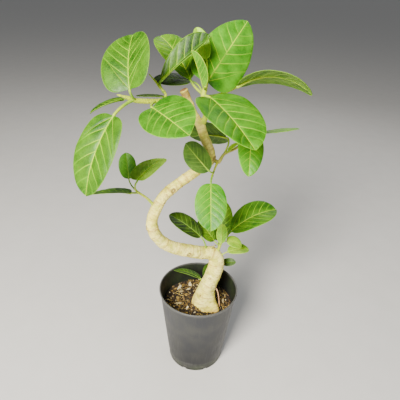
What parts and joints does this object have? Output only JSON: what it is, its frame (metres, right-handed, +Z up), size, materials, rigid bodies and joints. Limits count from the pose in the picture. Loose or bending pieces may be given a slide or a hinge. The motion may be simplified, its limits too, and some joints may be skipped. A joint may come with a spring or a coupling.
{
  "type": "potted fig tree",
  "caption": "Young fig trained with an open bend in its bare trunk, broad leathery leaves on short twigs, rooted in soil in a tapered nursery pot.",
  "frame": {"origin": "centre of the pot's flat underside, on the surface that the pot stands on", "axes": "+Z up along the pot's axis; -Y is the front, from which the trunk bends out to the left (-X) and comes back"},
  "size_m": [0.3503, 0.2386, 0.6337],
  "materials": {
    "pot_plastic": "dusty satin black moulded polypropylene",
    "potting_mix": "loose mix of bark chips, pumice and dark loam",
    "trunk_bark": "smooth pale cream bark with ring scars and fine ridges",
    "green_twig": "smooth yellow-green young stem",
    "woody_twig": "thin grey-brown bark",
    "leaf_green": "leathery leaf, satin mid green with pale raised veins",
    "leaf_young": "soft young leaf, light yellow-green satin",
    "leaf_shaded": "leathery leaf, dark green satin with pale midrib"
  },
  "bodies": {
    "root": {"pot": "pot_plastic", "soil": "potting_mix", "trunk": "trunk_bark", "left_branch": "green_twig", "top_twig": "green_twig", "top_shoot": "green_twig", "lower_twig": "green_twig", "left_twig": "green_twig", "knee_shoot": "green_twig", "base_shoot": "green_twig", "right_twig": "woody_twig", "aerial_root": "woody_twig", "dead_twig": "woody_twig", "leaf_top_left": "leaf_green", "leaf_hanging_left": "leaf_green", "leaf_front_left": "leaf_green", "leaf_crown_back": "leaf_green", "leaf_crown_folded": "leaf_green", "leaf_crown_right": "leaf_green", "leaf_unfurling": "leaf_young", "leaf_crown_far": "leaf_green", "leaf_far_right": "leaf_green", "leaf_front_right": "leaf_green", "leaf_right_edge": "leaf_green", "leaf_right_hanging": "leaf_green", "leaf_right_bud": "leaf_young", "leaf_behind_trunk": "leaf_shaded", "leaf_elbow": "leaf_shaded", "leaf_inner_hanging": "leaf_green", "leaf_left_twig_up": "leaf_shaded", "leaf_left_twig_cupped": "leaf_green", "leaf_left_twig_flat": "leaf_shaded", "leaf_left_back": "leaf_green", "leaf_branch_back": "leaf_green", "leaf_crown_shade": "leaf_shaded", "leaf_arm": "leaf_shaded", "leaf_knee_large": "leaf_green", "leaf_knee_back": "leaf_green", "leaf_knee_upright": "leaf_green", "leaf_knee_young_up": "leaf_young", "leaf_knee_young_side": "leaf_young", "leaf_knee_low": "leaf_young", "leaf_knee_back_low": "leaf_shaded", "leaf_base_long": "leaf_shaded", "leaf_base_short": "leaf_shaded"}
  },
  "joints": []
}
